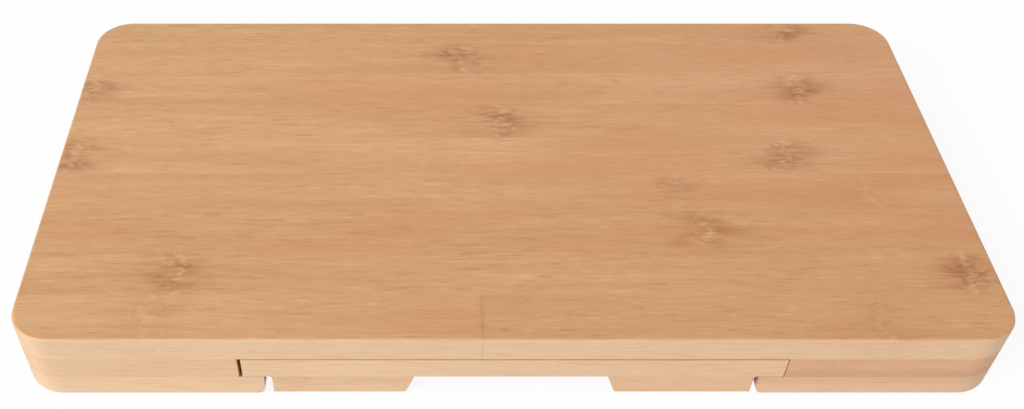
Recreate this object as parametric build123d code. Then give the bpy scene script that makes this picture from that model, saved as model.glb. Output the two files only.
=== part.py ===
from build123d import *
import os

# A bamboo cutting board glued up from strips in three layers, with a drawer under its top layer.
# Millimetres. X runs along the board, Y from its front edge to its rear edge, Z up.
# The origin is the middle of the underside.

# Board
board_length = 400.0
board_depth = 205.0
corner_radius = 16.5
top_thickness = 12.4
core_thickness = 11.8
base_thickness = 11.8
top_edge_radius = 1.2
bottom_edge_radius = 1.5

# Strips, laid from the rear edge to the front edge. The first one of a layer is trimmed.
strip_width = 23.5
top_trim_width = 17.5
core_trim_width = 6.0
base_trim_width = 17.5
narrowest_strip = 4.0

# The front strip of the top layer is butted together from two lengths
end_joint_place = -12.5
end_joint_gap = 0.06

# Channel for the drawer: wide in the core layer, narrower at its mouth between the ledges of the base layer
channel_width = 220.2
mouth_width = 200.4
ledge_edge_radius = 5.0
strips_behind_channel = 2

# Fit of the drawer in the channel. It lies a little to the right of the channel's middle.
runner_side_gap = 0.8
runner_seat_gap = 0.3
runner_top_gap = 0.8
grip_side_gap = 2.6
drawer_rear_gap = 2.0
drawer_foot_gap = 1.5
drawer_shift = 0.6

# Drawer. Its finger notch lies a little to the left of the drawer's middle.
front_rail_depth = 22.0
side_thickness = 12.0
rear_wall_thickness = 12.0
grip_depth = 15.0
notch_top_width = 78.0
notch_foot_width = 85.5
notch_shift = -0.8
floor_thickness = 3.5
floor_height = 2.0
floor_groove_depth = 4.0
floor_fit_gap = 0.1
flange_cove_radius = 1.8
notch_edge_radius = 1.5
drawer_edge_radius = 0.4

# How far a cutting shape reaches past the face that it opens
overrun = 5.0

# Levels and edges that follow from the sizes above
core_bottom = base_thickness
core_top = core_bottom + core_thickness
board_height = core_top + top_thickness
front_edge = -board_depth / 2
rear_edge = board_depth / 2


def block(x_low, x_high, y_low, y_high, z_low, z_high):
    """A box between two corners."""
    box = Box(x_high - x_low, y_high - y_low, z_high - z_low, align=(Align.MIN, Align.MIN, Align.MIN))
    return Pos(x_low, y_low, z_low) * box


def upright_plate(outline, y_front, y_rear):
    """A plate with a closed outline in X and Z, between two places along Y."""
    return extrude(Plane.XZ.offset(-y_rear) * make_face(outline), y_rear - y_front)


def board_blank():
    """The whole board as one slab with rounded corners and softened edges, before it is cut into strips."""
    slab = extrude(RectangleRounded(board_length, board_depth, corner_radius), board_height)
    slab = fillet(slab.faces().sort_by(Axis.Z)[-1].edges(), top_edge_radius)
    return fillet(slab.faces().sort_by(Axis.Z)[0].edges(), bottom_edge_radius)


def strip_seams(trim_width):
    """The Y places of a layer's seams, from the rear edge to the front edge."""
    seams = [rear_edge]
    seam = rear_edge - trim_width
    while seam > front_edge + narrowest_strip:
        seams.append(seam)
        seam -= strip_width
    seams.append(front_edge)
    return seams


# The channel ends on a seam in both of the layers that it cuts
channel_rear = strip_seams(core_trim_width)[strips_behind_channel]
mouth_rear = strip_seams(base_trim_width)[strips_behind_channel]


def layer_strips(blank, trim_width, bottom, top):
    """The full-length strips of one layer, from rear to front."""
    seams = strip_seams(trim_width)
    reach = board_length / 2
    strips = []
    for rear, front in zip(seams, seams[1:]):
        strips.append(blank & block(-reach, reach, front, rear, bottom, top))
    return strips


def two_lengths(name, strip):
    """A strip that is butted together from a left and a right length."""
    reach = board_length / 2
    left_end = end_joint_place - end_joint_gap / 2
    right_end = end_joint_place + end_joint_gap / 2
    return {
        f"{name}_left_strip": strip & block(-reach, left_end, front_edge, rear_edge, 0, board_height),
        f"{name}_right_strip": strip & block(right_end, reach, front_edge, rear_edge, 0, board_height),
    }


def channel_cut():
    """The wide part of the channel, through the core layer."""
    half = channel_width / 2
    return block(-half, half, front_edge - overrun, channel_rear, core_bottom, core_top)


def mouth_cut():
    """The narrower part of the channel, through the base layer, with the lower edges of its ledges rounded."""
    half = mouth_width / 2
    flared_half = half + ledge_edge_radius
    outline = [
        Line((-half, core_bottom), (half, core_bottom)),
        Line((half, core_bottom), (half, ledge_edge_radius)),
        RadiusArc((half, ledge_edge_radius), (flared_half, 0), -ledge_edge_radius),
        Line((flared_half, 0), (flared_half, -overrun)),
        Line((flared_half, -overrun), (-flared_half, -overrun)),
        Line((-flared_half, -overrun), (-flared_half, 0)),
        RadiusArc((-flared_half, 0), (-half, ledge_edge_radius), -ledge_edge_radius),
        Line((-half, ledge_edge_radius), (-half, core_bottom)),
    ]
    return upright_plate(outline, front_edge - overrun, mouth_rear)


def cut_layer(name, strips, cut):
    """A layer with a channel: its rear strips stay whole, and each other strip is left with two short ends."""
    reach = board_length / 2
    nodes = {}
    for index, strip in enumerate(strips):
        if index < strips_behind_channel:
            nodes[f"{name}_rear_strip_{index + 1}"] = strip
            continue
        number = index - strips_behind_channel + 1
        ends = strip - cut
        nodes[f"{name}_left_strip_{number}"] = ends & block(-reach, 0, front_edge, rear_edge, 0, board_height)
        nodes[f"{name}_right_strip_{number}"] = ends & block(0, reach, front_edge, rear_edge, 0, board_height)
    return nodes


def board_nodes():
    """All strips of the board."""
    blank = board_blank()
    top = layer_strips(blank, top_trim_width, core_top, board_height)
    nodes = two_lengths("top_front", top.pop())
    for index, strip in enumerate(top):
        nodes[f"top_strip_{index + 1}"] = strip
    core = layer_strips(blank, core_trim_width, core_bottom, core_top)
    nodes.update(cut_layer("core", core, channel_cut()))
    base = layer_strips(blank, base_trim_width, 0, core_bottom)
    nodes.update(cut_layer("base", base, mouth_cut()))
    return nodes


# The drawer's outer faces, from the channel and the gaps
flange_half = channel_width / 2 - runner_side_gap
lower_half = mouth_width / 2 - grip_side_gap
flange_left = drawer_shift - flange_half
flange_right = drawer_shift + flange_half
lower_left = drawer_shift - lower_half
lower_right = drawer_shift + lower_half
flange_bottom = core_bottom + runner_seat_gap
flange_top = core_top - runner_top_gap
flange_rear = channel_rear - drawer_rear_gap
lower_rear = mouth_rear - drawer_rear_gap

# The drawer's inner faces, where its two plies are flush
tray_left = lower_left + side_thickness
tray_right = lower_right - side_thickness
tray_front = front_edge + front_rail_depth
tray_rear = lower_rear - rear_wall_thickness
floor_bottom = drawer_foot_gap + floor_height
floor_top = floor_bottom + floor_thickness


def upper_ply():
    """The drawer's upper ply before it is cut into pieces: a frame round the tray, with its edges eased."""
    frame = block(flange_left, flange_right, front_edge, flange_rear, flange_bottom, flange_top)
    frame -= block(tray_left, tray_right, tray_front, tray_rear, flange_bottom, flange_top)
    top_edges = frame.faces().sort_by(Axis.Z)[-1].edges()
    front_corners = frame.faces().sort_by(Axis.Y)[0].edges().filter_by(Axis.Z)
    return fillet(top_edges + front_corners, drawer_edge_radius)


def upper_piece(ply, x_low, x_high, y_low, y_high):
    """A straight piece of the drawer's upper ply."""
    return ply & block(x_low, x_high, y_low, y_high, flange_bottom, flange_top)


def lower_piece(x_low, x_high, y_low, y_high):
    """A straight piece of the drawer's lower ply."""
    return block(x_low, x_high, y_low, y_high, drawer_foot_gap, flange_bottom)


def flange_cove(side, y_front, y_rear):
    """The hollow curve that leads from one side of the lower ply out to the underside of the flange."""
    outer = drawer_shift + side * lower_half
    cove_end = outer + side * flange_cove_radius
    cove_foot = flange_bottom - flange_cove_radius
    outline = [
        Line((outer, flange_bottom), (cove_end, flange_bottom)),
        RadiusArc((cove_end, flange_bottom), (outer, cove_foot), side * -flange_cove_radius),
        Line((outer, cove_foot), (outer, flange_bottom)),
    ]
    return upright_plate(outline, y_front, y_rear)


def floor_panel(gap):
    """The drawer's floor, let into the lower ply all round and drawn in from its grooves by a gap."""
    reach = floor_groove_depth - gap
    return block(tray_left - reach, tray_right + reach, tray_front - reach, tray_rear + reach,
                 floor_bottom + gap, floor_top - gap)


def grip(side):
    """The block on one side of the finger notch, with the notch's flared side, a cove and eased edges."""
    outer = drawer_shift + side * lower_half
    notch_middle = drawer_shift + notch_shift
    notch_top = notch_middle + side * notch_top_width / 2
    notch_foot = notch_middle + side * notch_foot_width / 2
    outline = Polyline((notch_top, flange_bottom), (outer, flange_bottom),
                       (outer, drawer_foot_gap), (notch_foot, drawer_foot_gap), close=True)
    piece = upright_plate(outline, front_edge, front_edge + grip_depth)
    piece += flange_cove(side, front_edge, front_edge + grip_depth)
    foot_edges = piece.faces().sort_by(Axis.Z)[0].edges().filter_by(Axis.Y)
    piece = fillet(foot_edges.sort_by(Axis.X)[0 if side > 0 else -1], notch_edge_radius)
    front_edges = piece.faces().sort_by(Axis.Y)[0].edges().sort_by(Axis.Z)[:-1]
    return fillet(front_edges, drawer_edge_radius)


def drawer_nodes():
    """All pieces of the drawer, closed in the board."""
    ply = upper_ply()
    groove = floor_panel(0)
    behind_grips = front_edge + grip_depth
    left_side = lower_piece(lower_left, tray_left, behind_grips, lower_rear)
    right_side = lower_piece(tray_right, lower_right, behind_grips, lower_rear)
    return {
        "drawer_front_rail": upper_piece(ply, flange_left, flange_right, front_edge, tray_front),
        "drawer_left_runner": upper_piece(ply, flange_left, tray_left, tray_front, tray_rear),
        "drawer_right_runner": upper_piece(ply, tray_right, flange_right, tray_front, tray_rear),
        "drawer_rear_rail": upper_piece(ply, flange_left, flange_right, tray_rear, flange_rear),
        "drawer_left_grip": grip(-1),
        "drawer_right_grip": grip(1),
        "drawer_notch_bar": lower_piece(tray_left, tray_right, behind_grips, tray_front) - groove,
        "drawer_left_side": left_side + flange_cove(-1, behind_grips, lower_rear) - groove,
        "drawer_right_side": right_side + flange_cove(1, behind_grips, lower_rear) - groove,
        "drawer_rear_wall": lower_piece(tray_left, tray_right, tray_rear, lower_rear) - groove,
        "drawer_floor": floor_panel(floor_fit_gap),
    }


os.makedirs("parts", exist_ok=True)
for node, shape in (board_nodes() | drawer_nodes()).items():
    export_step(shape, f"parts/{node}.step")
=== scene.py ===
import functools
import math
import random

import bmesh
import bpy
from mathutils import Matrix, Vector


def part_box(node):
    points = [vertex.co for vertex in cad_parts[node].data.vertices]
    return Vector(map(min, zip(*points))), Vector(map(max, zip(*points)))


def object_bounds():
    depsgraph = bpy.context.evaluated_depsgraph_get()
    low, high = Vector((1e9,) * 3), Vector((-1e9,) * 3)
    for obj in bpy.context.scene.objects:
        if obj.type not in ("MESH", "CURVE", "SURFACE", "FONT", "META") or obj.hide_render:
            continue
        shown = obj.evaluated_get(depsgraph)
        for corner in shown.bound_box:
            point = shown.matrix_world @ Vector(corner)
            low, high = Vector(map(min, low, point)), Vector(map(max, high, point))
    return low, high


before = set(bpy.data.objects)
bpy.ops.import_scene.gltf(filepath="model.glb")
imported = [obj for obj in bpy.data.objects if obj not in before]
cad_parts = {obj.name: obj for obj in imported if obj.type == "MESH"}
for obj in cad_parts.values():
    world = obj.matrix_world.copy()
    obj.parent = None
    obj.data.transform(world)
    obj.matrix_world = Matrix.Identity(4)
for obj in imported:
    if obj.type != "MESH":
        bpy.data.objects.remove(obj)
cad_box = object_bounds()

# A bamboo cutting board of three layers of strips, with a drawer under its top layer.
# Metres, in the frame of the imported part: X along the board, Y from front to rear, Z up.
MM = 0.001

# Where the culm's nodes cross the strips that show: place along the strip in millimetres, and strength
CULM_NODES = {
    "top_strip_1": [(146, 0.9)],
    "top_strip_2": [(-15, 1.1)],
    "top_strip_3": [(146, 1.0), (-196, 0.8)],
    "top_strip_4": [(0, 1.1)],
    "top_strip_5": [(128, 1.0), (-193, 1.0)],
    "top_strip_6": [(77, 0.4), (160, 0.2)],
    "top_strip_7": [(84, 0.9)],
    "top_strip_8": [(-137, 0.95), (187, 1.1)],
    "top_front_left_strip": [(-146, 0.4)],
    "top_front_right_strip": [(147, 0.25)],
    "core_left_strip_8": [],
    "core_right_strip_8": [(119, 0.4)],
    "base_left_strip_7": [],
    "base_right_strip_7": [],
    "drawer_front_rail": [],
    "drawer_left_grip": [(-92, 0.5)],
    "drawer_right_grip": [],
    "drawer_floor": [],
}

# Tones of the strips that the photograph shows, as shares of the range: how much paler, how much redder,
# and how dark the culm's outer skin shows on the long sides, with a minus where the skin lies downwards
STRIP_TONES = {
    "top_strip_1": (-0.04, -0.05, 0.1),
    "top_strip_2": (0.07, 0.09, 0.1),
    "top_strip_3": (0.13, 0.11, -0.1),
    "top_strip_4": (0.06, 0.05, 0.1),
    "top_strip_5": (0.16, 0.1, -0.1),
    "top_strip_6": (0.08, 0.1, -0.1),
    "top_strip_7": (-0.03, 0.1, 0.1),
    "top_strip_8": (-0.02, 0.0, -0.1),
    "top_front_left_strip": (0.1, 0.05, 0.02),
    "top_front_right_strip": (-0.05, -0.07, 0.02),
    "core_left_strip_8": (-0.3, 0.05, 0.03),
    "core_right_strip_8": (-0.15, 0.31, -0.2),
    "base_left_strip_7": (0.06, 0.0, 0.04),
    "base_right_strip_7": (0.75, 0.16, 0.13),
    "drawer_front_rail": (0.1, -0.02, 0.02),
    "drawer_left_grip": (-0.05, 0.1, 0.04),
    "drawer_right_grip": (0.15, 0.09, -0.08),
}

# Ranges from which the other strips draw their tones and the strength of their one culm node
HIDDEN_TONES = ((-0.3, 0.3), (0, 0.25), (-0.2, 0.2))
HIDDEN_NODE_STRENGTH = (0.5, 0.9)

# Range from which each strip draws how dark its ends are
END_DEPTH = (0.15, 0.4)

# The reach of the fibre pattern in millimetres, in which each strip draws a place of its own
PATTERN_REACH = 2000

# How much redder the board's right end is painted than its left end: painted shade where the light falls
# off towards the right
RIGHT_END_PAINTED_SHADE = 0.26

# Drawer pieces whose grain runs from front to rear
GRAIN_ALONG_Y = {"drawer_left_runner", "drawer_right_runner", "drawer_left_side", "drawer_right_side"}

# Sizes of the fibre's patterns in millimetres: length along the fibre and width across it.
# The fine fibres and the vessels are drawn two or three times as coarse as real ones, so that they show.
BANDS = (75, 6)
STREAKS = (28, 1.5)
DASHES = (9, 1.3)
FINE_FIBRES = (7, 0.6)
VESSELS = (26, 1.1)
BLUSH = (110, 16)

# Sizes of the patterns in a culm node's mark, in the same way
CLOUD = (22, 9)
WHORLS = (9, 4.0)
TRAILS = (30, 1.6)
RIDGE_SPECKS = (4.0, 1.6)
SWIRLS = (6, 4)

# How far from a culm node's line its patterns start to fade and are gone, in millimetres
CLOUD_FADE = (2, 24)
WHORL_FADE = (2, 13)
TRAIL_FADE = (2, 42)
RIDGE_FADE = (0.5, 2.6)
BEND_FADE = (0, 14)

# A culm node's crooked line, in millimetres: how far it strays along the strip, the width of its crooks,
# and how far the fibres bend beside it
LINE_STRAY = 12
LINE_CROOK = 9
FIBRE_BEND = 6

# How far glue has soaked into the bamboo on each side of the front strip's end joint, in millimetres
JOINT_SOAK = 2.0
JOINT_STRIPS = ("top_front_left_strip", "top_front_right_strip")

# The glue line round a strip's end, drawn coarser than the real 0.1 mm so that it shows
GLUE_LINE = 0.35 * MM

# How far the fibres stand out after sanding
FIBRE_RELIEF = 0.08 * MM


def linear(hex_colour):
    """A linear RGBA colour from an sRGB hex value."""
    channels = [int(hex_colour[i:i + 2], 16) / 255 for i in (1, 3, 5)]
    return [c / 12.92 if c <= 0.04045 else ((c + 0.055) / 1.055) ** 2.4 for c in channels] + [1.0]


def add_node(tree, kind, inputs=None, **settings):
    """Adds a node with its settings, and sets its inputs or links them from nodes and sockets."""
    node = tree.nodes.new(kind)
    for name, value in settings.items():
        setattr(node, name, value)
    sockets = [socket for socket in node.inputs if socket.enabled]
    for key, value in (inputs or {}).items():
        socket = sockets[key] if isinstance(key, int) else next(s for s in sockets if s.name == key)
        if isinstance(value, bpy.types.Node):
            value = next(s for s in value.outputs if s.enabled)
        if isinstance(value, bpy.types.NodeSocket):
            tree.links.new(value, socket)
        else:
            socket.default_value = value
    return node


def new_group(name, inputs, outputs):
    """An empty shader node group with sockets of the named types."""
    tree = bpy.data.node_groups.new(name, "ShaderNodeTree")
    for direction, sockets in (("INPUT", inputs), ("OUTPUT", outputs)):
        for socket, kind in sockets.items():
            tree.interface.new_socket(socket, in_out=direction, socket_type=f"NodeSocket{kind}")
    return tree


def stretched(add, pattern, grain, size, **inputs):
    """A pattern whose spots have a length along the fibre and a width across it, in millimetres."""
    along, across = size
    spots = add("ShaderNodeMapping", {"Vector": grain, "Scale": (1 / along, 1 / across, 1 / across)})
    return add(pattern, {"Vector": spots, "Scale": 1, **inputs})


def fibre_pattern():
    """Bamboo fibre as a solid pattern in millimetres, with the fibres along X: long soft bands, streaks,
    scattered dashes, fine fibres, and vessels that are streaks on a long face and dots on an end."""
    tree = new_group("bamboo_fibre", {"Grain": "Vector"},
                     {"Tone": "Float", "Blush": "Float", "Vessels": "Float"})
    add = functools.partial(add_node, tree)
    grain = add("NodeGroupInput").outputs["Grain"]
    noise = functools.partial(stretched, add, "ShaderNodeTexNoise", grain)

    bands = noise(BANDS, Detail=2)
    streaks = noise(STREAKS, Detail=2, Roughness=0.6)
    fibres = noise(FINE_FIBRES, Detail=1)
    tone = 0.5
    for pattern, share in ((bands, 0.5), (streaks, 0.46), (fibres, 0.15)):
        centred = add("ShaderNodeMath", {0: pattern, 1: 0.5}, operation="SUBTRACT")
        tone = add("ShaderNodeMath", {0: centred, 1: share, 2: tone}, operation="MULTIPLY_ADD")

    dashes = noise(DASHES, Detail=1)
    pale_dashes = (0.58, 0.72, 0.24)
    dark_dashes = (0.42, 0.28, -0.28)
    for none, full, share in (pale_dashes, dark_dashes):
        shown = add("ShaderNodeMapRange", {"Value": dashes, "From Min": none, "From Max": full},
                    interpolation_type="SMOOTHSTEP")
        tone = add("ShaderNodeMath", {0: shown, 1: share, 2: tone}, operation="MULTIPLY_ADD")

    blush = noise(BLUSH, Detail=1)
    cells = stretched(add, "ShaderNodeTexVoronoi", grain, VESSELS)
    vessels = add("ShaderNodeMapRange", {"Value": cells.outputs["Distance"], "From Min": 0.12,
                                         "From Max": 0.42, "To Min": 1, "To Max": 0},
                  interpolation_type="SMOOTHSTEP")
    add("NodeGroupOutput", {"Tone": tone, "Blush": blush, "Vessels": vessels})
    return tree


def culm_node_pattern():
    """The mark of a culm node, in millimetres: a soft stain with darker whorls in it and trailing streaks
    on both sides, a few pale specks on a crooked line across the strip, and fibres that bend beside it."""
    tree = new_group("culm_node_mark", {"Grain": "Vector", "Place": "Float", "Strength": "Float"},
                     {"Stain": "Float", "Ridge": "Float", "Bend": "Float"})
    add = functools.partial(add_node, tree)
    given = add("NodeGroupInput")
    grain, place, strength = (given.outputs[name] for name in ("Grain", "Place", "Strength"))
    noise = functools.partial(stretched, add, "ShaderNodeTexNoise", grain)

    # How far a point lies from the node's crooked line
    axes = add("ShaderNodeSeparateXYZ", {0: grain})
    line_place = add("ShaderNodeCombineXYZ", {"X": place, "Y": axes.outputs["Y"], "Z": axes.outputs["Z"]})
    wander = add("ShaderNodeTexNoise", {"Vector": line_place, "Scale": 1 / LINE_CROOK, "Detail": 3,
                                        "Roughness": 0.6})
    shift = add("ShaderNodeMapRange", {"Value": wander, "To Min": -LINE_STRAY, "To Max": LINE_STRAY})
    along = add("ShaderNodeMath", {0: axes.outputs["X"], 1: place}, operation="SUBTRACT")
    off_line = add("ShaderNodeMath", {0: along, 1: shift}, operation="ADD")
    distance = add("ShaderNodeMath", {0: off_line}, operation="ABSOLUTE")

    def fading(full, gone):
        """A mask that fades away from the line, between two distances in millimetres."""
        return add("ShaderNodeMapRange", {"Value": distance, "From Min": full, "From Max": gone,
                                          "To Min": 1, "To Max": 0}, interpolation_type="SMOOTHSTEP")

    def masked(pattern, none, full, mask):
        """The part of a pattern that rises above a level, where a mask lets it show."""
        shown = add("ShaderNodeMapRange", {"Value": pattern, "From Min": none, "From Max": full},
                    interpolation_type="SMOOTHSTEP")
        return add("ShaderNodeMath", {0: shown, 1: mask}, operation="MULTIPLY")

    cloud = masked(noise(CLOUD, Detail=2), 0.36, 0.66, fading(*CLOUD_FADE))
    whorls = masked(noise(WHORLS, Detail=2, Distortion=1.2), 0.42, 0.60, fading(*WHORL_FADE))
    trails = masked(noise(TRAILS, Detail=2), 0.48, 0.75, fading(*TRAIL_FADE))
    stain = 0.0
    for pattern, share in ((cloud, 0.75), (whorls, 0.65), (trails, 0.5)):
        stain = add("ShaderNodeMath", {0: pattern, 1: share, 2: stain}, operation="MULTIPLY_ADD")
    ridge = masked(noise(RIDGE_SPECKS, Detail=1, Distortion=1.0), 0.42, 0.62, fading(*RIDGE_FADE))
    swirl = add("ShaderNodeMapRange", {"Value": noise(SWIRLS, Detail=1),
                                       "To Min": -FIBRE_BEND, "To Max": FIBRE_BEND})
    bend = add("ShaderNodeMath", {0: swirl, 1: fading(*BEND_FADE)}, operation="MULTIPLY")

    softened = add("ShaderNodeMath", {0: strength}, operation="SQRT")
    parts = (("Stain", stain, strength), ("Ridge", ridge, softened), ("Bend", bend, softened))
    scaled = {}
    for name, value, level in parts:
        scaled[name] = add("ShaderNodeMath", {0: value, 1: level}, operation="MULTIPLY")
    add("NodeGroupOutput", scaled)
    return tree


FIBRE = fibre_pattern()
CULM_NODE = culm_node_pattern()


def crossing_marks(add, grain, culm_nodes):
    """The stain, the pale ridge and the bend of the fibres from all culm nodes that cross a strip."""
    marks = {"Stain": 0.0, "Ridge": 0.0, "Bend": 0.0}
    for place, strength in culm_nodes:
        crossing = add("ShaderNodeGroup", node_tree=CULM_NODE,
                       inputs={"Grain": grain, "Place": place, "Strength": strength})
        for part, sum_before in marks.items():
            marks[part] = add("ShaderNodeMath", {0: crossing.outputs[part], 1: sum_before}, operation="ADD")
    return marks


def joint_stain(add, grain, side, stain):
    """The stain with a soft dark line on the broad face at the end joint, where glue has soaked in."""
    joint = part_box("top_front_left_strip")[1].x / MM
    axes = add("ShaderNodeSeparateXYZ", {0: grain})
    along = add("ShaderNodeMath", {0: axes.outputs["X"], 1: joint}, operation="SUBTRACT")
    distance = add("ShaderNodeMath", {0: along}, operation="ABSOLUTE")
    line = add("ShaderNodeMapRange", {"Value": distance, "From Min": 0, "From Max": JOINT_SOAK,
                                      "To Min": 0.25, "To Max": 0}, interpolation_type="SMOOTHSTEP")
    line = add("ShaderNodeMapRange", {"Value": side, "To Min": line, "To Max": 0})
    return add("ShaderNodeMath", {0: stain, 1: line}, operation="ADD")


def seam_pattern(add, position, box, along_y):
    """How far a point lies from the strip's middle towards its side seams, from 0 to 1, and the glue line
    round the strip's section."""
    low, high = box
    sides = ("X", low.x, high.x) if along_y else ("Y", low.y, high.y)
    offsets = []
    glue = 0.0
    for axis, start, stop in (sides, ("Z", low.z, high.z)):
        centred = add("ShaderNodeMapRange", {"Value": position.outputs[axis], "From Min": start,
                                             "From Max": stop, "To Min": -1, "To Max": 1})
        offset = add("ShaderNodeMath", {0: centred}, operation="ABSOLUTE")
        offsets.append(offset)
        line = add("ShaderNodeMapRange", {"Value": offset, "From Min": 1 - 2 * GLUE_LINE / (stop - start)})
        glue = add("ShaderNodeMath", {0: glue, 1: line}, operation="MAXIMUM")
    return offsets[0], glue


def pressed_bamboo(name, culm_nodes, tones, end_depth, along_y, seed):
    """Bamboo strips pressed together, sanded and oiled: a warm straw colour with fine streaks along the
    fibre, a soft satin shine, paler side faces that are partly the sawn edge's own tone and partly painted
    sheen, and darker ends with a glue line round each strip, where the vessels show as dots that crowd
    towards the strip's outer skin."""
    material = bpy.data.materials.new(f"pressed_bamboo_{name}")
    material.use_nodes = True
    tree = material.node_tree
    tree.nodes.clear()
    add = functools.partial(add_node, tree)
    paler, redder, skin = tones
    low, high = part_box(name)

    # Place and facing in the fibre's own frame, with the fibre along X
    turn = (0, 0, -math.pi / 2 if along_y else 0)
    place = add("ShaderNodeTexCoord").outputs["Object"]
    position = add("ShaderNodeSeparateXYZ", {0: place})
    grain = add("ShaderNodeMapping", {"Vector": place, "Rotation": turn, "Scale": (1 / MM,) * 3})
    normal = add("ShaderNodeNewGeometry").outputs["Normal"]
    facing = add("ShaderNodeMapping", {"Vector": normal, "Rotation": turn}, vector_type="VECTOR")
    facing = add("ShaderNodeVectorMath", {0: facing}, operation="ABSOLUTE")
    facing = add("ShaderNodeSeparateXYZ", {0: facing})
    end = add("ShaderNodeMapRange", {"Value": facing.outputs["X"], "From Min": 0.5, "From Max": 0.95})
    side = add("ShaderNodeMapRange", {"Value": facing.outputs["Z"], "From Min": 0.97, "From Max": 0.45,
                                      "To Min": 0, "To Max": 1})

    # The fibre, bent where culm nodes cross it, each strip with a stretch of its own
    marks = crossing_marks(add, grain, culm_nodes)
    if name in JOINT_STRIPS:
        marks["Stain"] = joint_stain(add, grain, side, marks["Stain"])
    bend = add("ShaderNodeCombineXYZ", {"Y": marks["Bend"]})
    bent = add("ShaderNodeVectorMath", {0: grain, 1: bend}, operation="ADD")
    own = add("ShaderNodeVectorMath", {0: bent, 1: seed}, operation="ADD")
    fibre = add("ShaderNodeGroup", {"Grain": own}, node_tree=FIBRE)
    tone = add("ShaderNodeMath", {0: fibre.outputs["Tone"], 1: paler}, operation="ADD", use_clamp=True)

    # The culm's skin: a darker band on long sides, with the vessels crowded towards it on ends
    inner, outer = (low.z, high.z) if skin > 0 else (high.z, low.z)
    towards_skin = add("ShaderNodeMapRange", {"Value": position.outputs["Z"], "From Min": inner,
                                              "From Max": outer})
    skin_shown = add("ShaderNodeMapRange", {"Value": towards_skin, "From Min": 0.45, "From Max": 0.8},
                     interpolation_type="SMOOTHSTEP")
    skin_depth = add("ShaderNodeMapRange", {"Value": side, "To Min": 0, "To Max": abs(skin)})
    skin_share = add("ShaderNodeMath", {0: skin_shown, 1: skin_depth}, operation="MULTIPLY")
    crowding = add("ShaderNodeMapRange", {"Value": towards_skin, "To Min": 0.25, "To Max": 0.85})
    vessel_depth = add("ShaderNodeMapRange", {"Value": end, "To Min": 0.16, "To Max": crowding})
    vessels = fibre.outputs["Vessels"]
    vessel_share = add("ShaderNodeMath", {0: vessels, 1: vessel_depth}, operation="MULTIPLY")

    # Redness: soft clouds, fainter on the sides, the strip's own tone, and painted shade that turns redder
    # towards the right end of the board
    # Painted shade: the strip's own redness plus a gradient that makes the board's right end redder, for
    # light falling off there
    redder_and_painted_shade = add("ShaderNodeMapRange", {"Value": position.outputs["X"],
                                      "From Min": cad_box[0][0], "From Max": cad_box[1][0],
                                      "To Min": redder, "To Max": redder + RIGHT_END_PAINTED_SHADE})
    blush = add("ShaderNodeMapRange", {"Value": fibre.outputs["Blush"], "From Min": 0.3, "From Max": 0.7,
                                       "To Min": 0.05, "To Max": 0.4})
    blush_depth = add("ShaderNodeMapRange", {"Value": side, "To Min": 1, "To Max": 0.3})
    red_share = add("ShaderNodeMath", {0: blush, 1: blush_depth, 2: redder_and_painted_shade}, operation="MULTIPLY_ADD")

    # Ends and glue, and the culm nodes' stains, which fade towards the seams and on the sides
    seam_offset, glue = seam_pattern(add, position, (low, high), along_y)
    end_share = add("ShaderNodeMath", {0: end, 1: end_depth}, operation="MULTIPLY")
    end_glue = add("ShaderNodeMath", {0: glue, 1: end}, operation="MULTIPLY")
    glue_share = add("ShaderNodeMath", {0: end_glue, 1: 0.35}, operation="MULTIPLY")
    fade = add("ShaderNodeMapRange", {"Value": seam_offset, "From Min": 0.4, "From Max": 1,
                                      "To Min": 0.7, "To Max": 0.25}, interpolation_type="SMOOTHSTEP")
    stain_depth = add("ShaderNodeMapRange", {"Value": side, "To Min": fade, "To Max": 0.2})
    stain_share = add("ShaderNodeMath", {0: marks["Stain"], 1: stain_depth}, operation="MULTIPLY")
    ridge_share = add("ShaderNodeMath", {0: marks["Ridge"], 1: 0.4}, operation="MULTIPLY")

    # Colours, one laid over the other
    broad = add("ShaderNodeMix", {"Factor": tone, "A": linear("#BB8D52"), "B": linear("#E9BB8E")},
                data_type="RGBA")
    # The side faces' paler colour is partly the sawn edge's own tone and partly painted sheen of the white
    # surround
    sawn_and_sheen = add("ShaderNodeMix", {"Factor": tone, "A": linear("#E0BB93"), "B": linear("#ECCFAB")},
               data_type="RGBA")
    colour = add("ShaderNodeMix", {"Factor": side, "A": broad, "B": sawn_and_sheen}, data_type="RGBA")
    layers = (
        (red_share, "#CC8A5C"),
        (skin_share, "#A0693C"),
        (vessel_share, "#A87242"),
        (end_share, "#BC8854"),
        (glue_share, "#8A5A30"),
        (stain_share, "#A76B3C"),
        (ridge_share, "#E2BB8E"),
    )
    for share, hex_colour in layers:
        colour = add("ShaderNodeMix", {"Factor": share, "A": colour, "B": linear(hex_colour)},
                     data_type="RGBA")

    rough = add("ShaderNodeMapRange", {"Value": tone, "To Min": 0.52, "To Max": 0.42})
    height = add("ShaderNodeMath", {0: tone, 1: vessels}, operation="SUBTRACT")
    bump = add("ShaderNodeBump", {"Height": height, "Strength": 0.12, "Distance": FIBRE_RELIEF})
    surface = add("ShaderNodeBsdfPrincipled", {"Base Color": colour, "Roughness": rough, "Normal": bump})
    add("ShaderNodeOutputMaterial", {"Surface": surface})
    return material


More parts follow.
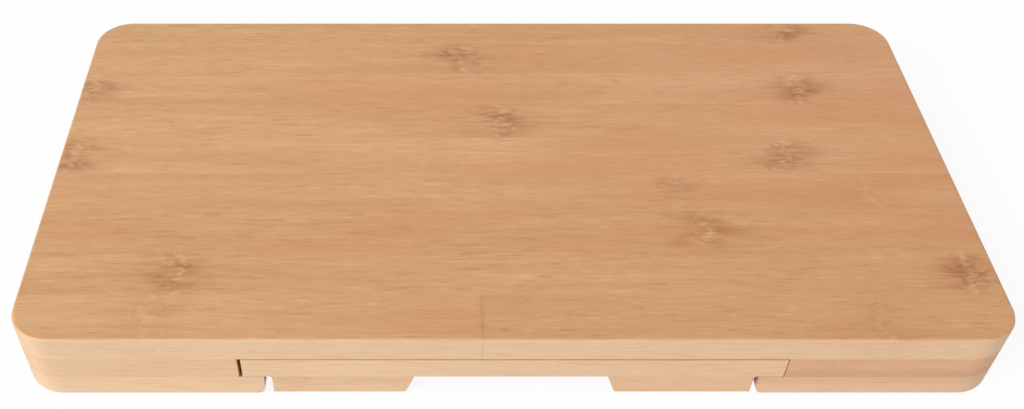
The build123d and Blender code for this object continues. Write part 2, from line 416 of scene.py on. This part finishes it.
def dress_strips():
    """Gives each piece of the board and the drawer its own bamboo."""
    for name, piece in sorted(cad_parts.items()):
        chance = random.Random(name)
        seed = [chance.uniform(0, PATTERN_REACH) for axis in "xyz"]
        low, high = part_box(name)
        along_y = name in GRAIN_ALONG_Y
        start, stop = (low.y, high.y) if along_y else (low.x, high.x)
        hidden_node = (chance.uniform(start, stop) / MM, chance.uniform(*HIDDEN_NODE_STRENGTH))
        hidden_tones = [chance.uniform(*limits) for limits in HIDDEN_TONES]
        end_depth = chance.uniform(*END_DEPTH)
        culm_nodes = CULM_NODES.get(name, [hidden_node])
        tones = STRIP_TONES.get(name, hidden_tones)
        bamboo = pressed_bamboo(name, culm_nodes, tones, end_depth, along_y, seed)
        piece.data.materials.clear()
        piece.data.materials.append(bamboo)


dress_strips()


# Floor, light and camera: lengths and places in metres, the lamp's power in watts
FLOOR_REACH = 4.0
FLOOR_DROP = 0.2 * MM
FLOOR_GLOW = 0.92
WORLD_LEVEL = 0.45
KEY_PLACE = (-3.5, -2.6, 3.66)
KEY_SIZE = 2.2
KEY_WATTS = 256.0
CAMERA_PLACE = (-0.03829, -0.37637, 0.3908)
CAMERA_TILT = math.radians(44.429)

# The camera's lens and sensor in millimetres, and its shift as a share of the image's width
LENS = 40.206
SENSOR_WIDTH = 36.0
LENS_SHIFT = 0.09285


def white_where_seen(tree, glow):
    """How much of a white glow a camera, glossy or transmission ray gets in place of the lit surface."""
    add = functools.partial(add_node, tree)
    path = add("ShaderNodeLightPath")
    seen = path.outputs["Is Camera Ray"]
    for ray in ("Is Glossy Ray", "Is Transmission Ray"):
        seen = add("ShaderNodeMath", {0: seen, 1: path.outputs[ray]}, operation="MAXIMUM")
    return add("ShaderNodeMath", {0: seen, 1: glow}, operation="MULTIPLY")


def matt_white_paper():
    """Matt white background paper: an even white without a shine, on which a faint shadow is left."""
    paper = bpy.data.materials.new("matt_white_paper")
    paper.use_nodes = True
    tree = paper.node_tree
    tree.nodes.clear()
    matt = add_node(tree, "ShaderNodeBsdfDiffuse", {"Color": linear("#F2F2F2")})
    glow = add_node(tree, "ShaderNodeEmission", {"Color": linear("#FFFFFF"), "Strength": 1.0})
    share = white_where_seen(tree, FLOOR_GLOW)
    mixed = add_node(tree, "ShaderNodeMixShader", {0: share, 1: matt, 2: glow})
    add_node(tree, "ShaderNodeOutputMaterial", {"Surface": mixed})
    return paper


def studio_floor():
    """A flat paper floor, just under the board."""
    mesh = bpy.data.meshes.new("studio_floor")
    shape = bmesh.new()
    bmesh.ops.create_grid(shape, x_segments=1, y_segments=1, size=FLOOR_REACH)
    bmesh.ops.translate(shape, verts=shape.verts, vec=(0, 0, -FLOOR_DROP))
    shape.to_mesh(mesh)
    shape.free()
    mesh.materials.append(matt_white_paper())
    floor = bpy.data.objects.new("studio_floor", mesh)
    bpy.context.scene.collection.objects.link(floor)


def studio_world():
    """An even white surround: soft light on the board, plain white where it is seen."""
    world = bpy.data.worlds.new("studio_world")
    world.use_nodes = True
    tree = world.node_tree
    tree.nodes.clear()
    seen = white_where_seen(tree, 1.0)
    strength = add_node(tree, "ShaderNodeMapRange", {"Value": seen, "To Min": WORLD_LEVEL, "To Max": 1.0})
    sky = add_node(tree, "ShaderNodeBackground", {"Color": linear("#FFFFFF"), "Strength": strength})
    add_node(tree, "ShaderNodeOutputWorld", {"Surface": sky})
    bpy.context.scene.world = world


def key_soft_box():
    """A square soft box at the upper left, in front of the board, that faces its middle."""
    lamp = bpy.data.lights.new("key_soft_box", "AREA")
    lamp.size = KEY_SIZE
    lamp.energy = KEY_WATTS
    holder = bpy.data.objects.new("key_soft_box", lamp)
    holder.location = KEY_PLACE
    holder.rotation_euler = (-Vector(KEY_PLACE)).to_track_quat("-Z", "Y").to_euler()
    bpy.context.scene.collection.objects.link(holder)


def photo_camera():
    """The photograph's view: above the front edge, a little left of the middle."""
    camera = bpy.data.objects.new("photo_camera", bpy.data.cameras.new("photo_camera"))
    camera.data.lens = LENS
    camera.data.sensor_width = SENSOR_WIDTH
    camera.data.shift_x = LENS_SHIFT
    camera.location = CAMERA_PLACE
    camera.rotation_euler = (CAMERA_TILT, 0, 0)
    bpy.context.scene.collection.objects.link(camera)
    bpy.context.scene.camera = camera


studio_floor()
studio_world()
key_soft_box()
photo_camera()
bpy.context.scene.view_settings.view_transform = "Standard"
